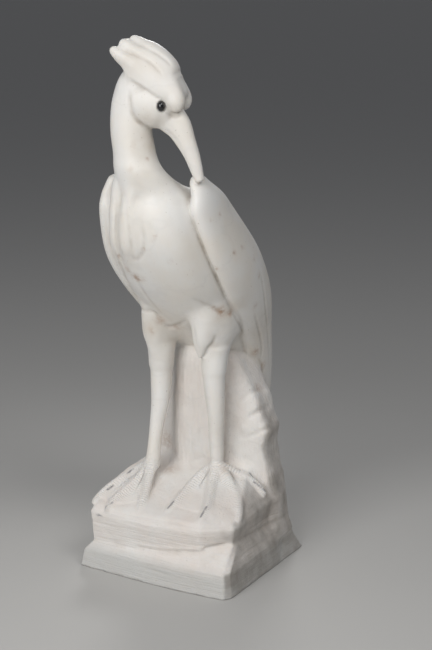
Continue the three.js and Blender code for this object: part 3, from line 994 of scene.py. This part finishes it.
def eye_piece(name, sign):
    mesh = bpy.data.meshes.new(name)
    ball = bmesh.new()
    bmesh.ops.create_uvsphere(ball, u_segments=48, v_segments=32, radius=1)
    a, b, c = EYE_HALF_SIZES
    axes = Matrix((FORWARD * a, UP * b, HEAD_SIDE * c)).transposed()
    bmesh.ops.transform(ball, matrix=(axes * 0.001).to_4x4(), verts=ball.verts)
    bmesh.ops.translate(ball, vec=Vector(to_frame(eye_centre(sign))), verts=ball.verts)
    bmesh.ops.recalc_face_normals(ball, faces=ball.faces)
    ball.to_mesh(mesh)
    ball.free()
    mesh.shade_smooth()
    return add_object(name, mesh)


def carve_block():
    stone = Stone()
    add_body(stone)
    add_head(stone)
    rock = add_ground(stone)
    carve_lines(stone, HEAD_LINES, other_cheek)
    carve_lines(stone, WING_LINES, other_wing)
    carve_lines(stone, BODY_LINES + ROCK_LINES)
    carve_lines(stone, LEDGES, ledge=True)
    tool_stone(stone, rock)
    cut_eye_seats(stone)
    return stone, rock


# From the field to a Blender mesh

def add_object(name, data):
    added = bpy.data.objects.new(name, data)
    bpy.context.scene.collection.objects.link(added)
    return added


def mesh_object(name, points, triangles, quads):
    mesh = bpy.data.meshes.new(name)
    mesh.from_pydata(points.tolist(), [], triangles.tolist() + quads.tolist())
    mesh.update()
    return add_object(name, mesh)


def thin_out(piece, limit):
    """Merges the flattest faces until the piece has no more triangles than the limit."""
    triangles = sum(len(p.vertices) - 2 for p in piece.data.polygons)
    modifier = piece.modifiers.new("thin", "DECIMATE")
    modifier.ratio = min(1, limit / triangles)
    view = bpy.context.evaluated_depsgraph_get()
    thinned = bpy.data.meshes.new_from_object(piece.evaluated_get(view))
    piece.modifiers.clear()
    spare = piece.data
    piece.data = thinned
    thinned.name = piece.name
    bpy.data.meshes.remove(spare)


def to_frame(points):
    """The same points in metres, where the frame's solids are."""
    return (np.asarray(points) + [0, PLINTH_MIDDLE_Y, 0]) / 1000


def directions(count):
    """Even directions all round."""
    i = np.arange(count) + 0.5
    polar = np.arccos(1 - 2 * i / count)
    turn = math.pi * (1 + math.sqrt(5)) * i
    return np.column_stack([np.cos(turn) * np.sin(polar), np.sin(turn) * np.sin(polar), np.cos(polar)])


def roundness(stone, points, reach):
    """Above 0 on a ridge and below 0 in a hollow, at the scale of the reach."""
    count = 24
    around = sum(stone.sample(points + reach * way) for way in directions(count)) / count
    return around / (0.35 * reach)


def line_distance(points, a, b):
    along = b - a
    share = np.clip((points - a) @ along / (along @ along), 0, 1)
    return np.linalg.norm(points - a - share[:, None] * along, axis=1)


def claw_share(stone, points):
    share = np.zeros(len(points))
    for ends in CLAWS:
        a, b = on_stone(stone, ends)
        share = np.maximum(share, np.clip(CLAW_RADIUS - line_distance(points, a, b), 0, 1))
    return share


def patch_share(stone, points, patches):
    share = np.zeros(len(points))
    for pixel, radius, strength in patches:
        middle = on_stone(stone, [pixel])[0]
        share += strength * np.exp(-((points - middle) ** 2).sum(1) / radius**2)
    return np.clip(share, 0, 1)


def toe_run(points):
    """How far along the nearest toe each point lies, and 1 near a toe falling to 0 away from it."""
    run = np.zeros(len(points))
    nearest = np.full(len(points), 1e9)
    for path in TOES:
        for t, place in enumerate(fine_path(path)):
            gap = ((points - place) ** 2).sum(1)
            closer = gap < nearest
            nearest[closer] = gap[closer]
            run[closer] = t
    return run, np.clip(1.6 - np.sqrt(nearest) / TOE_REACH, 0, 1)


def shaded_side_share(stone, points, rough):
    """1 on the rock and plinth where they face the bird's left, for the painted shade on that side."""
    lean = (stone.sample(points + [2, 0, 0]) - stone.sample(points - [2, 0, 0])) / 4
    return rough * np.clip((lean - 0.6) / 0.25, 0, 1) * np.clip((points[:, 0] - 55) / 15, 0, 1)


def add_attribute(mesh, name, values):
    mesh.attributes.new(name, "FLOAT", "POINT").data.foreach_set("value", values.astype(np.float32))


def read_surface(mesh, stone, rock, points):
    """Keeps on the mesh what the stone's colour and grain depend on."""
    fine = roundness(stone, points, FINE_REACH)
    broad = roundness(stone, points, BROAD_REACH)
    run, near_toe = toe_run(points)
    rough = share_of_rock(stone.sample(points, rock))
    # How hollow the surface is, which the grime and painted shade in creases follow
    add_attribute(mesh, "crease", np.clip(-FINE_CREASE * fine - BROAD_CREASE * broad, 0, 1))
    add_attribute(mesh, "shaded_side", shaded_side_share(stone, points, rough))
    add_attribute(mesh, "rough", rough)
    add_attribute(mesh, "claw", claw_share(stone, points))
    add_attribute(mesh, "stain_and_shade", patch_share(stone, points, STAINS_AND_RECESS_SHADE))
    add_attribute(mesh, "patina_and_shade", patch_share(stone, points, PATINA_AND_SHADE_PATCHES))
    add_attribute(mesh, "toe_run", run)
    add_attribute(mesh, "toe", near_toe * (1 - rough))


def stone_piece(stone, rock):
    points, triangles, quads = stone.skin()
    piece = mesh_object("heron_carving", points, triangles[:, ::-1], quads[:, ::-1])
    thin_out(piece, FACE_LIMIT)
    mesh = piece.data
    place = np.empty(len(mesh.vertices) * 3)
    mesh.vertices.foreach_get("co", place)
    place = place.reshape(-1, 3)
    read_surface(mesh, stone, rock, place)
    mesh.vertices.foreach_set("co", to_frame(place).ravel())
    mesh.shade_smooth()
    mesh.update()
    return piece


# Materials

class Nodes:
    """Adds nodes to a material and gives back their outputs."""

    def __init__(self, name):
        self.material = bpy.data.materials.new(name)
        self.material.use_nodes = True
        self.tree = self.material.node_tree
        self.shader = self.tree.nodes["Principled BSDF"]

    def add(self, kind, inputs, **settings):
        node = self.tree.nodes.new("ShaderNode" + kind)
        for key, value in settings.items():
            setattr(node, key, value)
        self.put(node, inputs)
        return node.outputs

    def put(self, node, inputs):
        """Links an input where it is another node's output, and sets it where it is a value."""
        for key, value in inputs.items():
            if isinstance(value, bpy.types.NodeSocket):
                self.tree.links.new(value, node.inputs[key])
            else:
                node.inputs[key].default_value = value

    def math(self, operation, a, b):
        return self.add("Math", {0: a, 1: b}, operation=operation)[0]

    def times(self, a, b):
        return self.math("MULTIPLY", a, b)

    def plus(self, a, b):
        return self.math("ADD", a, b)

    def between(self, value, low, high):
        """0 where the value is low and 1 where it is high."""
        return self.add("MapRange", {"Value": value, "From Min": low, "From Max": high})["Result"]

    def mix(self, share, a, b):
        colors = [c if isinstance(c, bpy.types.NodeSocket) else (*c, 1) for c in (a, b)]
        return self.add("Mix", {0: share, 6: colors[0], 7: colors[1]}, data_type="RGBA")[2]

    def lay(self, color, mask, mark):
        """Lays a mark over a colour where the mask is 1."""
        over, strength = mark
        return self.mix(self.times(mask, strength), color, over)

    def attribute(self, name):
        return self.add("Attribute", {}, attribute_name=name)["Fac"]

    def place(self):
        return self.add("TexCoord", {})["Object"]

    def noise(self, scale, stretch=(1, 1, 1), detail=3, turn=(0, 0, 0)):
        moved = self.add("Mapping", {"Vector": self.place(), "Scale": stretch, "Rotation": turn})
        return self.add("TexNoise", {"Vector": moved["Vector"], "Scale": scale, "Detail": detail})["Fac"]

    def bump(self, height, distance, strength=1.0, normal=None):
        inputs = {"Height": height, "Distance": distance, "Strength": strength}
        if normal:
            inputs["Normal"] = normal
        return self.add("Bump", inputs)["Normal"]


def polish_and_rock(n, rough, height):
    """The cloudy polish with its warmer clouds, patches of patina and painted shade, the tan and white
    rock, and the grey of the slab.
    """
    cloud = n.between(n.noise(16, detail=4), 0.42, 0.66)
    polish = n.lay(POLISHED_WHITE, cloud, POLISHED_WARM)
    # Patches of patina and of painted shade, broken up by noise
    patina_and_shade = n.times(n.attribute("patina_and_shade"), n.between(n.noise(35, detail=4), 0.2, 0.6))
    polish = n.lay(polish, patina_and_shade, PATINA_AND_SHADE_COLOR)
    patches = n.between(n.noise(24, (1, 1, 0.5), 5), 0.35, 0.65)
    rocky = n.plus(rough, n.times(n.attribute("toe"), TOE_ROCKINESS))
    color = n.mix(rocky, polish, n.mix(patches, ROCK_PALE, ROCK_TAN))
    return n.lay(color, n.between(height, *SLAB_GREY_FADE), SLAB_GREY)


def marks_and_painted_shade(n, rough, color):
    """Veins, painted shade on the side facing the bird's left, brown grime with painted shade in creases,
    stains with some painted shade in the recess, specks and dark claws, over a colour.
    """
    from_vein = n.math("ABSOLUTE", n.math("SUBTRACT", n.noise(9, (1, 1, 1.6), 4), 0.5), 0)
    color = n.lay(color, n.between(from_vein, 0.02, 0.0), VEIN_GREY)
    # Painted shade on the side that faces the bird's left, away from the key light
    shaded_side = n.times(n.attribute("shaded_side"), n.between(n.noise(50, detail=5), 0.1, 0.7))
    color = n.lay(color, shaded_side, SHADED_SIDE_COLOR)
    # Grime and painted shade in creases and hollows, fading out on the rock
    crease_grime_and_shade = n.times(n.attribute("crease"), n.between(n.noise(60, detail=5), 0.3, 0.65))
    crease_grime_and_shade = n.times(crease_grime_and_shade, n.between(rough, 1.6, 0.0))
    color = n.lay(color, crease_grime_and_shade, GRIME_AND_SHADE_BROWN)
    # Stains, and painted shade in the recess behind the legs
    stain_and_shade = n.times(n.attribute("stain_and_shade"), n.between(n.noise(260, detail=6), 0.3, 0.54))
    color = n.lay(color, stain_and_shade, STAIN_AND_SHADE_BROWN)
    speck = n.between(n.noise(420, detail=2), 0.71, 0.76)
    color = n.lay(color, speck, SPECK_BROWN)
    claw = n.times(n.attribute("claw"), n.between(n.noise(330, detail=4), 0.2, 0.5))
    return n.lay(color, claw, CLAW_GREY)


def fine_relief(n, rough, height):
    """Ribs on the toes, level marks on the plinth, upright ones on the rock, and a wavy polish."""
    rib = n.math("SINE", n.times(n.attribute("toe_run"), 2 * math.pi / TOE_RIB), 0)
    normal = n.bump(n.times(n.times(rib, n.attribute("toe")), 0.5), RIB_HEIGHT)
    low = n.between(height, *LEVEL_MARKS_FADE)
    level = n.times(n.noise(60, (0.3, 0.3, 9), 4, (0.1, 0.12, 0)), low)
    upright = n.times(n.noise(60, (6, 6, 0.4), 4), n.math("SUBTRACT", 1.0, low))
    grain = n.plus(n.plus(level, upright), n.times(n.noise(520, detail=5), 0.6))
    normal = n.bump(n.times(grain, rough), GRAIN_HEIGHT, 0.8, normal)
    return n.bump(n.noise(70, detail=5), WAVE_HEIGHT, 0.35, normal)


def marble():
    n = Nodes("marble")
    rough = n.attribute("rough")
    height = n.add("SeparateXYZ", {"Vector": n.place()})["Z"]
    color = marks_and_painted_shade(n, rough, polish_and_rock(n, rough, height))
    uneven = n.plus(n.times(rough, ROCK_ROUGHNESS), n.times(n.noise(45, detail=4), UNEVEN_ROUGHNESS))
    n.put(n.shader, {
        "Base Color": color,
        "Roughness": n.plus(uneven, POLISHED_ROUGHNESS),
        "Subsurface Weight": 0.12,
        "Subsurface Radius": (1.0, 0.8, 0.6),
        "Subsurface Scale": 0.004,
        "Specular IOR Level": 0.4,
        "Normal": fine_relief(n, rough, height),
    })
    return n.material


def black_glass(name):
    n = Nodes(name)
    haze = n.between(n.noise(900, detail=3), 0.3, 0.7)
    roughness = n.plus(n.times(haze, 0.06), 0.06)
    color = n.mix(haze, BEAD_BLACK, BEAD_HAZE)
    n.put(n.shader, {"Base Color": color, "Roughness": roughness, "Coat Weight": 0.5})
    return n.material


def floor_paper():
    n = Nodes("floor_paper")
    n.put(n.shader, {"Base Color": (*FLOOR_GREY, 1), "Roughness": FLOOR_ROUGHNESS})
    return n.material


# The room

def add_floor():
    bpy.ops.mesh.primitive_plane_add(size=FLOOR_SIZE, location=(0, 0, 0))
    floor = bpy.context.object
    floor.name = "floor"
    floor.data.materials.append(floor_paper())


def add_light(name, place, aim, size, power, spread):
    data = bpy.data.lights.new(name, "AREA")
    data.size = size
    data.energy = power
    data.spread = math.radians(spread)
    light = add_object(name, data)
    light.location = place
    light.rotation_euler = (Vector(aim) - Vector(place)).to_track_quat("-Z", "Y").to_euler()


def add_sky():
    world = bpy.data.worlds.new("studio")
    bpy.context.scene.world = world
    world.use_nodes = True
    background = world.node_tree.nodes["Background"]
    background.inputs["Color"].default_value = (*SKY_BLUE, 1)
    background.inputs["Strength"].default_value = SKY_STRENGTH


def add_room():
    add_floor()
    for light in LIGHTS:
        add_light(*light)
    add_sky()
    bpy.context.scene.view_settings.view_transform = "Standard"


def add_camera():
    data = bpy.data.cameras.new("photo_camera")
    data.sensor_fit = "VERTICAL"
    data.sensor_height = SENSOR_HEIGHT
    data.lens = FOCAL_PIXELS / PHOTO_SIZE[1] * data.sensor_height
    camera = add_object("photo_camera", data)
    camera.location = to_frame(CAMERA_PLACE)
    camera.rotation_euler = (math.pi / 2 - CAMERA_PITCH, 0, CAMERA_AZIMUTH)
    bpy.context.scene.camera = camera


# The scene

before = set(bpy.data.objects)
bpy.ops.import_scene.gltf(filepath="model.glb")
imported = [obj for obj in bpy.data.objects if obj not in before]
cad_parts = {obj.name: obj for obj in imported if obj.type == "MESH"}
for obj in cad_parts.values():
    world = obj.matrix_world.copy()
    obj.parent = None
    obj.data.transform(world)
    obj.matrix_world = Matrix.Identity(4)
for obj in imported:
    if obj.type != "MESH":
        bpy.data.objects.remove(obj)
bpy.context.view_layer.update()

block, rock_values = carve_block()
carving = stone_piece(block, rock_values)
carving.data.materials.append(marble())
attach(carving, "root")
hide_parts("heron_figure")

for side_name, side_sign in (("right", 1), ("left", -1)):
    eye = eye_piece("bead_" + side_name, side_sign)
    eye.data.materials.append(black_glass("black_glass_" + side_name))
    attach(eye, "root")
    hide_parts("eye_" + side_name)

add_room()
add_camera()
